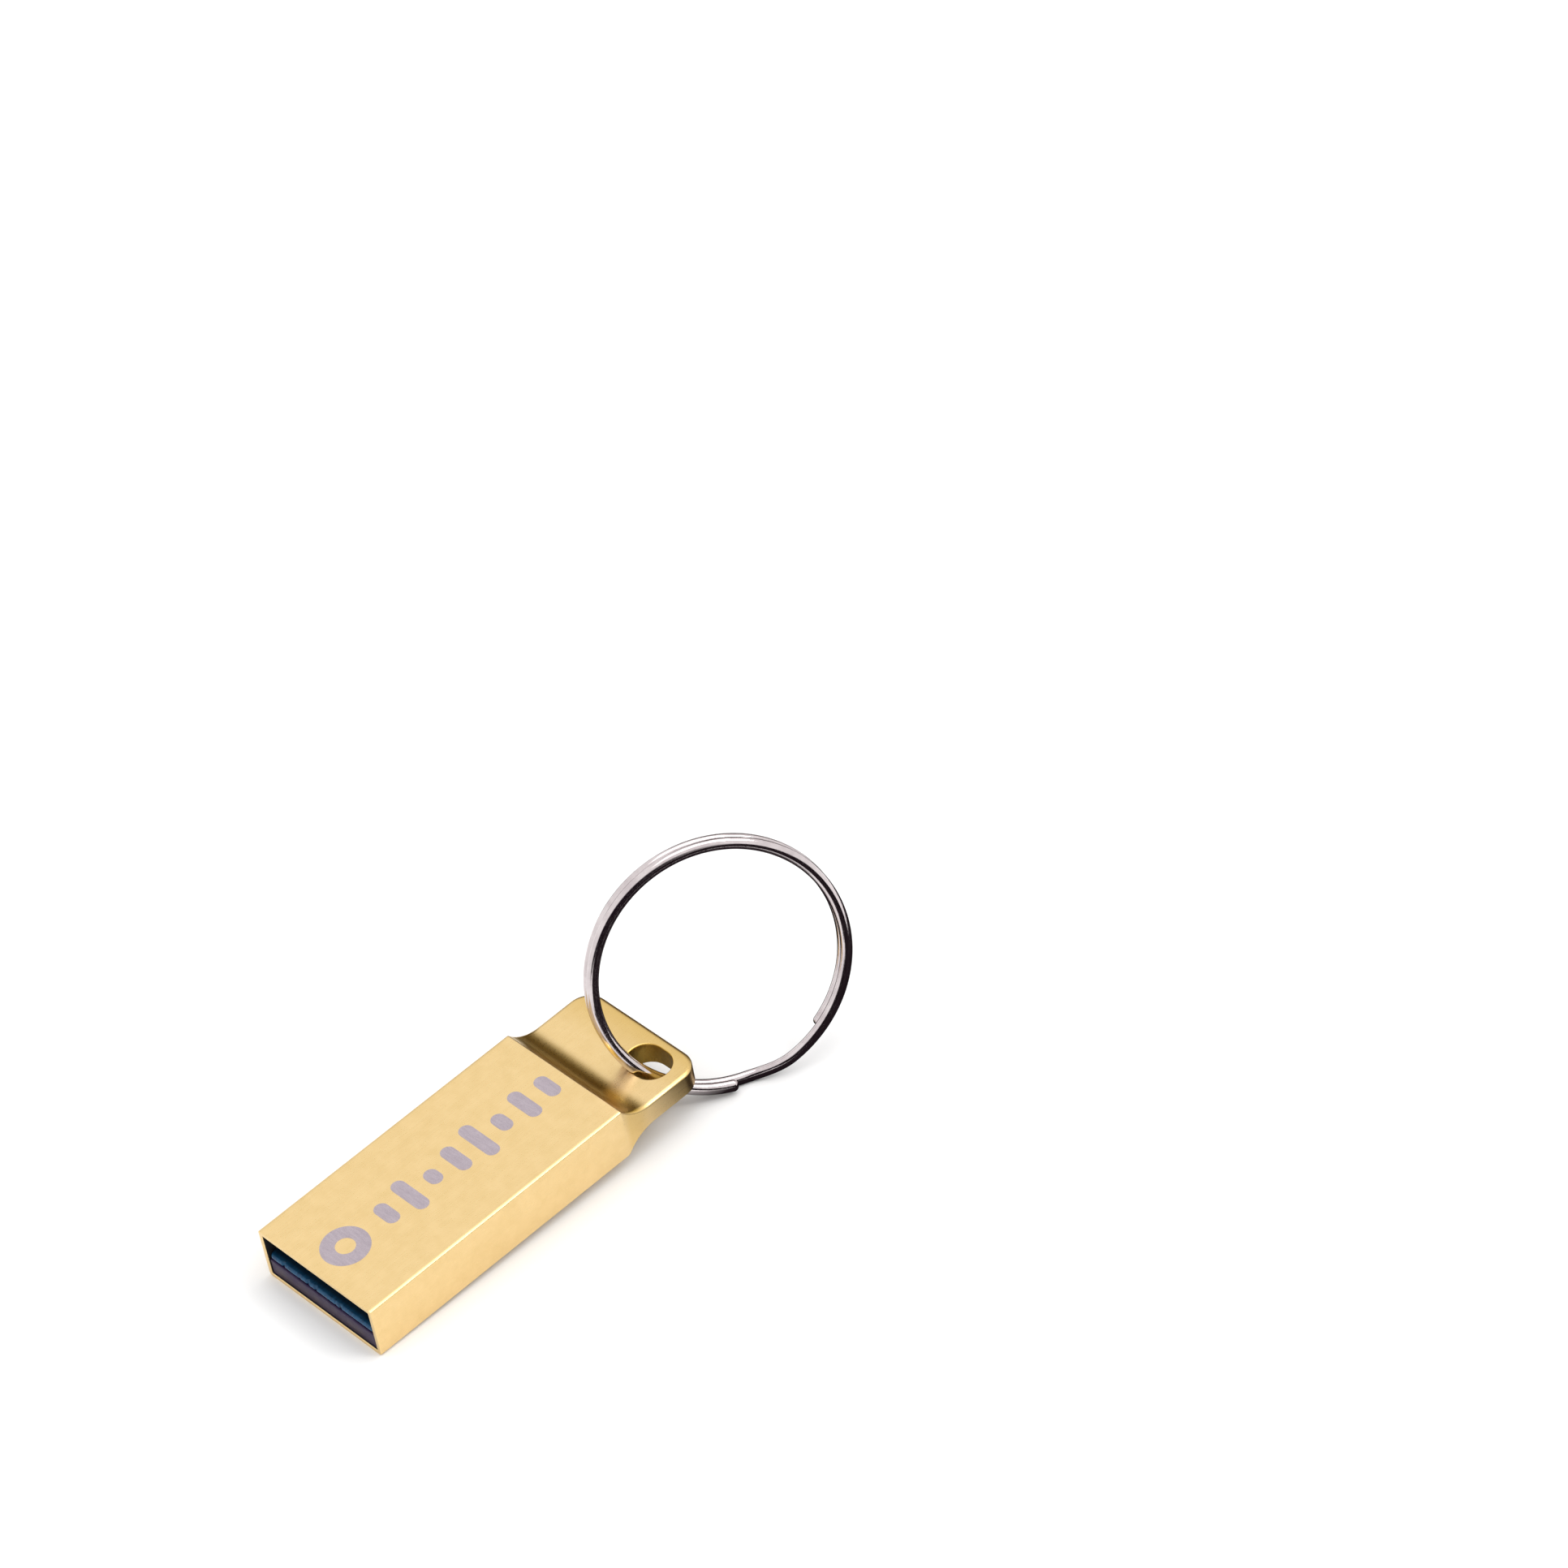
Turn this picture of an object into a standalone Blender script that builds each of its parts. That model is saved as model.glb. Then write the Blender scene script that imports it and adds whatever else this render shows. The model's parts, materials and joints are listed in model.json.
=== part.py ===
"""A metal USB 3 flash drive whose housing is its own plug shell, with a thin split ring through its tail eye.

Frame: +Y from the plug mouth to the tail, +X across, +Z up. The origin is on the flat underside, on the middle
line, PLUG_DEPTH behind the mouth. Lengths below are millimetres counted from the mouth, the middle line and the
underside; at() turns them into the frame's metres.
"""

import bmesh
import bpy
from math import cos, degrees, pi, radians, sin, sqrt
from mathutils import Vector

MM = 0.001
PLUG_DEPTH = 12.0

# Housing, outside
WIDTH = 12.0
HEIGHT = 4.6
LENGTH = 31.55
EDGE_RADIUS = 0.2
MOUTH_EDGE = 0.08
CREASE_Y = 23.9
PINCH_RADIUS = 3.4
TAB_THICKNESS = 1.95
TAB_EDGE_RADIUS = 0.22
TAB_CORNER_RADIUS = 1.7

# Housing, inside
WALL = 0.35
CAVITY_LENGTH = 23.4
CAVITY_CORNER = 0.1

# Eye in the tab
EYE_X = 2.9
EYE_Y = 29.25
EYE_STRAIGHT = 0.66
EYE_RADIUS = 1.5
EYE_RIM = 0.35

# Split ring
RING_NORMAL = (0.8815, -0.3570, 0.3091)
RING_CENTRE = (3.91, 36.22, 8.13)
RING_RADIUS = 9.45
WIRE_WIDTH = 0.9
WIRE_THICKNESS = 0.67
WIRE_CORNER = 0.2
LAYER_GAP = 0.06
WIRE_END_ROUND = 0.35
RING_START = 127.0
RING_TURNS = 676.0
JOG_FROM = 320.0
JOG_TO = 343.0
RING_STEP = 6.0

# Layers inside, from the underside up
CARRIER_BOTTOM = 0.39
CARRIER_TOP = 1.86
PLATE_BOTTOM = 1.90
PLATE_TOP = 2.30
GROOVE_DEPTH = 0.14
CONTACT_THICKNESS = 0.14
FILM_TOP = 0.50
CHIP_BOTTOM = 0.80
BOARD_BOTTOM = 1.90
BOARD_TOP = 2.40
SEAT_GAP = 0.04
PLATE_SIDE_GAP = 0.08
CAVITY_TOP = HEIGHT - WALL

# Places along the drive
CARRIER_FRONT = 0.10
PLATE_FRONT = 0.14
PLUG_PARTS_REAR = 12.3
BOARD_FRONT = 12.7
BOARD_REAR = 22.9
COVER_FRONT = 13.0
COVER_REAR = 23.3
COVER_WALL = 0.5
COVER_NOTCH_HEIGHT = 0.55
POCKET_MARGIN = 1.0
POCKET_FRONT = 2.0
POCKET_TOP = 1.0
BOARD_HALF_WIDTH = 5.3
BOARD_CORNER = 0.4
PAST = 1.0

# Contacts
FLAT_CONTACTS = {
    "contact_vbus": (-3.5, -3.05, 1.2),
    "contact_data_minus": (-1.0, -1.0, 2.2),
    "contact_data_plus": (1.0, 1.0, 2.2),
    "contact_ground": (3.5, 3.05, 1.2),
}
FLAT_WIDTH = 1.0
FLAT_REAR = 8.2
NECK_REAR = 8.6
TAIL_WIDTH = 0.5
TAIL_REAR = 13.9
STEP_FRONT = PLUG_PARTS_REAR + 0.05
STEP_REAR = PLUG_PARTS_REAR + 0.35
GROOVE_FLOOR_GAP = 0.02
SPRING_CONTACTS = {
    "spring_contact_rx_minus": -4.0,
    "spring_contact_rx_plus": -2.0,
    "spring_contact_drain": 0.0,
    "spring_contact_tx_plus": 2.0,
    "spring_contact_tx_minus": 4.0,
}
SPRING_WIDTH = 0.6
SPRING_PIVOT_Y = 11.9
SPRING_PIVOT_Z = 2.50
WINDOW_FRONT = 8.5
WINDOW_REAR = 11.4
WINDOW_WIDTH = 0.9

# Side view of a springing contact: distance from the mouth, height of its underside, share of its full width
SPRING_PROFILE = (
    (8.75, 2.36, 0.7),
    (9.05, 2.72, 1.0),
    (9.30, 2.84, 1.0),
    (9.55, 2.80, 1.0),
    (10.30, 2.52, 1.0),
    (11.30, 2.40, 1.0),
    (SPRING_PIVOT_Y, 2.38, 1.0),
    (PLUG_PARTS_REAR, 2.40, 1.0),
    (12.60, 2.48, 0.8),
    (13.70, 2.52, 0.8),
)

GOLD = ((0.83, 0.63, 0.31), 0.32, 1.0)
NICKEL = ((0.62, 0.58, 0.58), 0.22, 1.0)
CONTACT_GOLD = ((0.86, 0.62, 0.24), 0.25, 1.0)
BLUE = ((0.02, 0.09, 0.18), 0.45, 0.0)
DARK_PLASTIC = ((0.025, 0.02, 0.03), 0.4, 0.0)
BLACK_PLASTIC = ((0.02, 0.02, 0.022), 0.5, 0.0)
BOARD_GREEN = ((0.01, 0.11, 0.05), 0.35, 0.0)
CHIP_BLACK = ((0.03, 0.03, 0.032), 0.55, 0.0)
TIN = ((0.7, 0.7, 0.7), 0.3, 1.0)
CERAMIC = ((0.5, 0.38, 0.26), 0.5, 0.0)
FILM_AMBER = ((0.55, 0.27, 0.05), 0.3, 0.0)

# On the board's upper side: range across, range along, height, finish, corner radius
UPPER_CHIPS = {
    "controller_chip": ((-3.0, 3.0), (15.0, 21.0), 0.85, CHIP_BLACK, 0.15),
    "crystal_oscillator": ((3.35, 4.85), (15.2, 17.4), 0.5, TIN, 0.2),
    "voltage_regulator": ((-4.85, -3.35), (15.2, 17.0), 0.7, CHIP_BLACK, 0.1),
    "esd_protection": ((-1.2, 1.2), (14.05, 14.8), 0.45, CHIP_BLACK, 0.05),
    "power_inductor": ((-2.9, -0.9), (21.35, 22.55), 0.9, DARK_PLASTIC, 0.15),
}
MEMORY_ACROSS = (-4.5, 4.5)
MEMORY_ALONG = (13.6, 22.2)
MEMORY_CORNER = 0.15

# Middles of the small parts
CAPACITORS = ((-4.1, 18.3), (-4.1, 19.8), (4.1, 18.4), (4.1, 19.8), (0.3, 21.9))
RESISTORS = ((-4.3, 14.4), (-2.1, 14.4), (2.1, 14.4), (2.6, 21.9))
SMALL_PART_LENGTH = 1.0
SMALL_PART_WIDTH = 0.5
CAPACITOR_HEIGHT = 0.5
RESISTOR_HEIGHT = 0.35
SMALL_PART_CORNER = 0.06


def at(x, y, z):
    return Vector((x, y - PLUG_DEPTH, z)) * MM


def clear_scene():
    for obj in list(bpy.data.objects):
        bpy.data.objects.remove(obj, do_unlink=True)


def material(name, look):
    colour, roughness, metallic = look
    made = bpy.data.materials.new(name)
    made.use_nodes = True
    shader = made.node_tree.nodes["Principled BSDF"]
    shader.inputs["Base Color"].default_value = (*colour, 1.0)
    shader.inputs["Roughness"].default_value = roughness
    shader.inputs["Metallic"].default_value = metallic
    return made


def add_object(name, mesh_builder, look=None, pivot=None):
    """Makes an object from a bmesh whose points are in the frame, with its origin moved to the pivot."""
    origin = pivot if pivot is not None else Vector((0.0, 0.0, 0.0))
    bmesh.ops.translate(mesh_builder, verts=mesh_builder.verts, vec=-origin)
    bmesh.ops.recalc_face_normals(mesh_builder, faces=mesh_builder.faces)
    mesh = bpy.data.meshes.new(name)
    mesh_builder.to_mesh(mesh)
    mesh_builder.free()
    obj = bpy.data.objects.new(name, mesh)
    obj.location = origin
    bpy.context.scene.collection.objects.link(obj)
    if look is not None:
        mesh.materials.append(material(name, look))
    return obj


def loft(rings, close_start=True, close_end=True, into=None):
    """Joins equal rings of points into a tube, with flat ends where asked, and returns the bmesh and end rings."""
    bm = into if into is not None else bmesh.new()
    rows = [[bm.verts.new(point) for point in ring] for ring in rings]
    count = len(rows[0])
    for low, high in zip(rows, rows[1:]):
        for k in range(count):
            after = (k + 1) % count
            bm.faces.new((low[k], low[after], high[after], high[k]))
    if close_start:
        bm.faces.new(rows[0])
    if close_end:
        bm.faces.new(rows[-1])
    return bm, rows[0], rows[-1]


def rounded_rectangle(half_width, half_height, radius, steps):
    """Points of a rectangle with round corners, anticlockwise from the right."""
    points = []
    for quadrant, (sx, sy) in enumerate(((1, 1), (-1, 1), (-1, -1), (1, -1))):
        for step in range(steps + 1):
            angle = quadrant * pi / 2 + step * pi / 2 / steps
            points.append((
                sx * (half_width - radius) + radius * cos(angle),
                sy * (half_height - radius) + radius * sin(angle),
            ))
    return points


def box(name, x_range, y_range, z_range, look, corner=0.0):
    """A block between three ranges, with its upright edges rounded where a corner radius is given."""
    (x0, x1), (y0, y1), (z0, z1) = x_range, y_range, z_range
    middle_x = (x0 + x1) / 2
    middle_y = (y0 + y1) / 2
    if corner:
        outline = rounded_rectangle((x1 - x0) / 2, (y1 - y0) / 2, corner, 3)
    else:
        half_x = (x1 - x0) / 2
        half_y = (y1 - y0) / 2
        outline = [(half_x, half_y), (-half_x, half_y), (-half_x, -half_y), (half_x, -half_y)]
    rings = [[at(middle_x + x, middle_y + y, z) for x, y in outline] for z in (z0, z1)]
    bm = loft(rings)[0]
    return add_object(name, bm, look)


def cut(target, cutter):
    """Takes the cutter out of the target; the cutter stays as a hidden guide."""
    cutter.hide_render = True
    cutter.display_type = "WIRE"
    boolean = target.modifiers.new("cut_" + cutter.name, "BOOLEAN")
    boolean.operation = "DIFFERENCE"
    boolean.solver = "EXACT"
    boolean.object = cutter


def housing_half_height(y):
    """Half the housing's height at a distance from the mouth: flat, then a hollow pinch, then the thin tab."""
    tab_half = TAB_THICKNESS / 2
    if y <= CREASE_Y:
        return HEIGHT / 2
    step = HEIGHT / 2 - tab_half
    run = sqrt(PINCH_RADIUS ** 2 - (PINCH_RADIUS - step) ** 2)
    left = CREASE_Y + run - y
    if left <= 0:
        return tab_half
    return tab_half + PINCH_RADIUS - sqrt(PINCH_RADIUS ** 2 - left ** 2)


def housing_half_width(y):
    """Half the housing's width: full, then round plan corners at the tail."""
    past = y - (LENGTH - TAB_CORNER_RADIUS)
    if past <= 0:
        return WIDTH / 2
    past = min(past, TAB_CORNER_RADIUS)
    return WIDTH / 2 - TAB_CORNER_RADIUS + sqrt(TAB_CORNER_RADIUS ** 2 - past ** 2)


def housing_stations():
    """Distances from the mouth at which the housing's outer section is drawn."""
    step = HEIGHT / 2 - TAB_THICKNESS / 2
    run = sqrt(PINCH_RADIUS ** 2 - (PINCH_RADIUS - step) ** 2)
    stations = [0.0, MOUTH_EDGE, CREASE_Y - EDGE_RADIUS, CREASE_Y]
    stations += [CREASE_Y + run * k / 8 for k in range(1, 9)]
    corner_start = LENGTH - TAB_CORNER_RADIUS
    stations += [corner_start + TAB_CORNER_RADIUS * sin(k * pi / 2 / 9) for k in range(0, 9)]
    stations += [LENGTH - 0.012, LENGTH]
    return stations


def housing_ring(y):
    """One round-cornered outer section."""
    half_height = housing_half_height(y)
    half_width = housing_half_width(y)
    pinched = (HEIGHT / 2 - half_height) / (HEIGHT / 2 - TAB_THICKNESS / 2)
    radius = EDGE_RADIUS + (TAB_EDGE_RADIUS - EDGE_RADIUS) * pinched
    inset = 0.0
    if y < MOUTH_EDGE:
        inset = MOUTH_EDGE / 2
    tail = y - (LENGTH - TAB_EDGE_RADIUS)
    if tail > 0:
        inset = TAB_EDGE_RADIUS - sqrt(max(TAB_EDGE_RADIUS ** 2 - tail ** 2, 0.0))
        radius = max(radius - inset, 0.05)
        half_height -= inset
        inset = 0.0
    outline = rounded_rectangle(half_width - inset, half_height - inset, radius, 4)
    return [at(x, y, HEIGHT / 2 + z) for x, z in outline]


def cavity_ring(y):
    outline = rounded_rectangle(WIDTH / 2 - WALL, HEIGHT / 2 - WALL, CAVITY_CORNER, 4)
    return [at(x, y, HEIGHT / 2 + z) for x, z in outline]


def build_housing():
    bm, outer_mouth, _ = loft([housing_ring(y) for y in housing_stations()], close_start=False)
    _, inner_mouth, _ = loft([cavity_ring(0.0), cavity_ring(CAVITY_LENGTH)], close_start=False, into=bm)
    count = len(outer_mouth)
    for k in range(count):
        after = (k + 1) % count
        bm.faces.new((outer_mouth[k], outer_mouth[after], inner_mouth[after], inner_mouth[k]))
    housing = add_object("metal_housing", bm, GOLD)
    cut(housing, build_eye_cutter())
    return housing


def eye_outline(grow):
    """The eye's outline, a short slot across the tab, grown outwards for its rounded rims."""
    points = []
    steps = 12
    for side in (1, -1):
        facing = 0.0 if side > 0 else pi
        for k in range(steps + 1):
            angle = facing + (k / steps - 0.5) * pi
            points.append((
                EYE_X + side * EYE_STRAIGHT / 2 + (EYE_RADIUS + grow) * cos(angle),
                EYE_Y + (EYE_RADIUS + grow) * sin(angle),
            ))
    return points


def build_eye_cutter():
    """A spool through the tab that leaves the eye's rims round on both faces."""
    steps = 4
    half = TAB_THICKNESS / 2
    levels = [(-half - PAST, EYE_RIM)]
    for k in range(steps + 1):
        turned = k * pi / 2 / steps
        levels.append((-half + EYE_RIM * (1 - cos(turned)), EYE_RIM * (1 - sin(turned))))
    levels += [(-z, grow) for z, grow in reversed(levels)]
    rings = [[at(x, y, HEIGHT / 2 + z) for x, y in eye_outline(grow)] for z, grow in levels]
    return add_object("eye_cutter", loft(rings)[0])


def build_carrier():
    """The dark moulding under the blue plate: a block whose front closes the lower half of the mouth."""
    half = WIDTH / 2 - WALL - SEAT_GAP
    carrier = box("plug_carrier", (-half, half), (CARRIER_FRONT, PLUG_PARTS_REAR), (CARRIER_BOTTOM, CARRIER_TOP),
                  DARK_PLASTIC, CAVITY_CORNER)
    pocket = box("carrier_pocket", (-half + POCKET_MARGIN, half - POCKET_MARGIN),
                 (POCKET_FRONT, PLUG_PARTS_REAR + PAST), (-PAST, POCKET_TOP), None)
    cut(carrier, pocket)
    return carrier


def build_insulator():
    """The blue plate, with grooves for the flat contacts and windows under the springing ones."""
    half = WIDTH / 2 - WALL - PLATE_SIDE_GAP
    plate = box("plug_insulator", (-half, half), (PLATE_FRONT, PLUG_PARTS_REAR), (PLATE_BOTTOM, PLATE_TOP), BLUE,
                CAVITY_CORNER)
    groove_bottom = PLATE_TOP - GROOVE_DEPTH
    wide = FLAT_WIDTH + 2 * SEAT_GAP
    narrow = TAIL_WIDTH + 2 * SEAT_GAP
    for name, (x, tail_x, front) in FLAT_CONTACTS.items():
        stations = (
            (front - SEAT_GAP, groove_bottom, x, wide),
            (FLAT_REAR + SEAT_GAP, groove_bottom, x, wide),
            (NECK_REAR + SEAT_GAP, groove_bottom, tail_x, narrow),
            (PLUG_PARTS_REAR + PAST, groove_bottom, tail_x, narrow),
        )
        cut(plate, ribbon("groove_" + name, stations, GROOVE_DEPTH + PAST, None))
    for name, x in SPRING_CONTACTS.items():
        cut(plate, box("window_" + name, (x - WINDOW_WIDTH / 2, x + WINDOW_WIDTH / 2), (WINDOW_FRONT, WINDOW_REAR),
                       (PLATE_BOTTOM - PAST, PLATE_TOP + PAST), None))
    return plate


def ribbon(name, stations, thickness, look, pivot=None):
    """A strip of metal run along Y through stations of (y, underside z, middle x, width)."""
    rings = []
    for y, z, x, width in stations:
        half = width / 2
        rings.append([at(x - half, y, z), at(x + half, y, z), at(x + half, y, z + thickness),
                      at(x - half, y, z + thickness)])
    return add_object(name, loft(rings)[0], look, pivot)


def build_flat_contacts():
    """Four gold strips in the plate's grooves, stepping up behind it onto the board."""
    low = PLATE_TOP - GROOVE_DEPTH + GROOVE_FLOOR_GAP
    high = BOARD_TOP + SEAT_GAP
    for name, (x, tail_x, front) in FLAT_CONTACTS.items():
        stations = (
            (front, low, x, FLAT_WIDTH),
            (FLAT_REAR, low, x, FLAT_WIDTH),
            (NECK_REAR, low, tail_x, TAIL_WIDTH),
            (STEP_FRONT, low, tail_x, TAIL_WIDTH),
            (STEP_REAR, high, tail_x, TAIL_WIDTH),
            (TAIL_REAR, high, tail_x, TAIL_WIDTH),
        )
        ribbon(name, stations, CONTACT_THICKNESS, CONTACT_GOLD)


def build_spring_contacts():
    """Five springing strips: a tail on the board, a root across the plate's rear, and a bump over its window."""
    for name, x in SPRING_CONTACTS.items():
        stations = [(y, z, x, SPRING_WIDTH * share) for y, z, share in SPRING_PROFILE]
        ribbon(name, stations, CONTACT_THICKNESS, CONTACT_GOLD, pivot=at(x, SPRING_PIVOT_Y, SPRING_PIVOT_Z))


def build_board():
    box("circuit_board", (-BOARD_HALF_WIDTH, BOARD_HALF_WIDTH), (BOARD_FRONT, BOARD_REAR), (BOARD_BOTTOM, BOARD_TOP),
        BOARD_GREEN, BOARD_CORNER)


def build_chips():
    """The chips, each standing a seat gap off the board."""
    top = BOARD_TOP + SEAT_GAP
    for name, (across, along, height, look, corner) in UPPER_CHIPS.items():
        box(name, across, along, (top, top + height), look, corner)
    box("flash_memory_chip", MEMORY_ACROSS, MEMORY_ALONG, (CHIP_BOTTOM, BOARD_BOTTOM - SEAT_GAP), CHIP_BLACK,
        MEMORY_CORNER)


def build_passives():
    """Small capacitors and resistors beside the controller and along the board's rear."""
    top = BOARD_TOP + SEAT_GAP
    half_length = SMALL_PART_LENGTH / 2
    half_width = SMALL_PART_WIDTH / 2
    for number, (x, y) in enumerate(CAPACITORS, start=1):
        box(f"capacitor_{number}", (x - half_width, x + half_width), (y - half_length, y + half_length),
            (top, top + CAPACITOR_HEIGHT), CERAMIC, SMALL_PART_CORNER)
    for number, (x, y) in enumerate(RESISTORS, start=1):
        box(f"resistor_{number}", (x - half_length, x + half_length), (y - half_width, y + half_width),
            (top, top + RESISTOR_HEIGHT), CHIP_BLACK, SMALL_PART_CORNER)


def build_rear_cover():
    """The black moulding over the board: a box open below, with a raised front edge that clears the contacts."""
    half = WIDTH / 2 - WALL - SEAT_GAP
    inner = half - COVER_WALL
    top = CAVITY_TOP - SEAT_GAP
    bottom = BOARD_TOP + SEAT_GAP
    cover = box("rear_cover", (-half, half), (COVER_FRONT, COVER_REAR), (bottom, top), BLACK_PLASTIC, CAVITY_CORNER)
    pocket = box("cover_pocket", (-inner, inner), (COVER_FRONT + COVER_WALL, COVER_REAR - COVER_WALL),
                 (bottom - PAST, top - COVER_WALL), None)
    cut(cover, pocket)
    notch = box("cover_notch", (-inner, inner), (COVER_FRONT - PAST, COVER_FRONT + COVER_WALL + CAVITY_CORNER),
                (bottom - PAST, bottom + COVER_NOTCH_HEIGHT), None)
    cut(cover, notch)
    return cover


def build_film():
    box("insulating_film", (-BOARD_HALF_WIDTH, BOARD_HALF_WIDTH), (BOARD_FRONT, BOARD_REAR),
        (CARRIER_BOTTOM, FILM_TOP), FILM_AMBER)


def ring_axes():
    """The ring's own directions: its normal, a level one that points to the mouth, and one that points down."""
    normal = Vector(RING_NORMAL).normalized()
    level = normal.cross(Vector((0.0, 0.0, 1.0))).normalized()
    downhill = normal.cross(level)
    return normal, level, downhill


def layer_height(turned):
    """Height of the wire's middle in the coil after an angle: one layer, a short jog, then the other layer."""
    layer = (WIRE_THICKNESS + LAYER_GAP) / 2
    share = min(max((turned - JOG_FROM) / (JOG_TO - JOG_FROM), 0.0), 1.0)
    return -layer * cos(share * pi)


def wire_angles():
    """Angles along the wire at which its section is drawn, closer together where its ends are rounded off."""
    end_angle = degrees(WIRE_END_ROUND / RING_RADIUS)
    count = round((RING_TURNS - 2 * end_angle) / RING_STEP)
    middle = [end_angle + (RING_TURNS - 2 * end_angle) * k / count for k in range(count + 1)]
    return [0.0, end_angle * 0.3, *middle, RING_TURNS - end_angle * 0.3, RING_TURNS]


def end_scale(turned):
    """How far the section has grown to its full size near an end of the wire."""
    run = radians(min(turned, RING_TURNS - turned)) * RING_RADIUS
    short = 1.0 - min(run / WIRE_END_ROUND, 1.0)
    return 0.55 + 0.45 * sqrt(1.0 - short ** 2)


def build_split_ring():
    """Under two turns of flat wire, one layer on the other, swept round the ring's centre."""
    normal, level, downhill = ring_axes()
    centre = at(*RING_CENTRE)
    outline = rounded_rectangle(WIRE_WIDTH / 2, WIRE_THICKNESS / 2, WIRE_CORNER, 1)
    rings = []
    for turned in wire_angles():
        angle = radians(RING_START + turned)
        outwards = level * cos(angle) + downhill * sin(angle)
        middle = centre + (outwards * RING_RADIUS + normal * layer_height(turned)) * MM
        scale = end_scale(turned) * MM
        rings.append([middle + (outwards * u + normal * v) * scale for u, v in outline])
    add_object("split_ring", loft(rings)[0], NICKEL, pivot=at(EYE_X, EYE_Y, HEIGHT / 2))


def main():
    clear_scene()
    build_housing()
    build_carrier()
    build_insulator()
    build_board()
    build_flat_contacts()
    build_spring_contacts()
    build_chips()
    build_passives()
    build_rear_cover()
    build_film()
    build_split_ring()


main()
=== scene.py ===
"""Looks of a gold metal USB flash drive with a thin split ring through the eye in its tail.

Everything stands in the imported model's own frame, in metres. Lengths named below are millimetres, counted
from the plug's mouth, the middle line and the flat underside, as at() reads them.
"""

import json
from math import acos, cos, degrees, pi, radians, sin, sqrt

import bmesh
import bpy
from mathutils import Matrix, Vector, noise


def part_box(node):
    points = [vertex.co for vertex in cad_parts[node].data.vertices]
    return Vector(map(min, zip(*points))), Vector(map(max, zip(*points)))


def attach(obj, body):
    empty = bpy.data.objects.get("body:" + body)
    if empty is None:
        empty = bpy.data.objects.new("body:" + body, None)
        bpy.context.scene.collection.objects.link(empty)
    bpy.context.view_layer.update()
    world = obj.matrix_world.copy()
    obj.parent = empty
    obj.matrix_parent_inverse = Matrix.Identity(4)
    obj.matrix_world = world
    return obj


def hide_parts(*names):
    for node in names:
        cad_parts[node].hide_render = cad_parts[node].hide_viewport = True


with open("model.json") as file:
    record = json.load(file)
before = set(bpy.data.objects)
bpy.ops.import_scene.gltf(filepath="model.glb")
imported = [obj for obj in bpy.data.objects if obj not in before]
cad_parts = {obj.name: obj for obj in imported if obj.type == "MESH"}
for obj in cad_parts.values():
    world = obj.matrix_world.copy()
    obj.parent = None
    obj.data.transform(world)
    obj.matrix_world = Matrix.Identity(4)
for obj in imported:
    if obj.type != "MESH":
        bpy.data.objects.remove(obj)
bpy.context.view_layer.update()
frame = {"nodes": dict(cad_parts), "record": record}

MM = 0.001
SHELL_LOW, SHELL_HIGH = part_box("metal_housing")
WIDTH = (SHELL_HIGH.x - SHELL_LOW.x) / MM
LENGTH = (SHELL_HIGH.y - SHELL_LOW.y) / MM
HEIGHT = (SHELL_HIGH.z - SHELL_LOW.z) / MM

# Shell
TOP_EDGE = 0.12
BOTTOM_EDGE = 0.28
TAB_EDGE = 0.24
TOP_EDGE_SPREAD = 2.4
TAB_EDGE_SPREAD = 1.5
MOUTH_EDGE = 0.05
CREASE_Y = 23.9
PINCH_RADIUS = 3.4
TAB_THICKNESS = 1.95
TAB_CORNER = 1.7
TOP_CREASE_BLEND = 0.06
BOTTOM_CREASE_BLEND = 0.20
WALL = 0.35
CAVITY_LENGTH = 23.4
CAVITY_CORNER = 0.1
MOUTH_LIP = 0.04
CAVITY_SHADE_START = 0.5
EDGE_STEPS = 8
CREASE_APPROACH = (0.6, 0.4)
CREASE_RUN_IN = 0.3
CREASE_STEP = 0.03

# Painted shade on the gold: where it is painted darker, in the pinch's hollow, the eye and towards the tail,
# as ranges along the drive
SHADE_PAINTED_GOLD = (0.62, 0.40, 0.085)
PINCH_SHADE_START = (23.95, 24.4)
PINCH_SHADE_END = (25.3, 26.3)
TAIL_SHADE = (28.0, 31.8)
TAIL_SHADE_SHARE = 0.65
SIDE_SHADE_SHARE = 0.4
SIDE_SHADE_DEPTHS = (0.15, 0.02)
EYE_SHADE_START = 0.03

# Eye
EYE_X = 2.9
EYE_Y = 29.25
EYE_STRAIGHT = 0.66
EYE_RADIUS = 1.5
EYE_RIM = 0.13
EYE_CUTTER_REACH = 0.3

# Shading and cutting
METAL_SHARP_ANGLE = 32.0
ROUNDED_SHARP_ANGLE = 50.0
CUTTER_MARGIN = 1.0

# Plug mouldings
SEAT_GAP = 0.04
PLATE_SIDE_GAP = 0.08
PLATE_FRONT = 0.14
PLATE_BOTTOM = 1.90
PLATE_TOP = 2.30
PLATE_NOSE = 0.20
PLATE_LIP = 0.15
PLATE_END_ROUND = 0.30
PLATE_NOSE_REAR = 1.2
PLATE_CHIP = 0.45
PLATE_CHIP_PITCH = 2.3
PLATE_CHIP_FROM = 0.22
PLATE_RIPPLE = 0.025
PLATE_RIPPLE_PITCH = 6.0
PLATE_STEPS = 150
PLATE_SHADE_DEPTHS = (0.12, 0.5)
PLATE_SHADE_SHARE = 0.85
GROOVE_DEPTH = 0.14
PLUG_PARTS_REAR = 12.3
FLAT_CONTACT_TAILS = {
    "contact_vbus": (-3.5, -3.05),
    "contact_data_minus": None,
    "contact_data_plus": None,
    "contact_ground": (3.5, 3.05),
}
FLAT_WIDTH = 1.0
FLAT_REAR = 8.2
NECK_REAR = 8.6
TAIL_WIDTH = 0.5
SPRING_PLACES = (-4.0, -2.0, 0.0, 2.0, 4.0)
WINDOW_FRONT = 8.5
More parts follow.
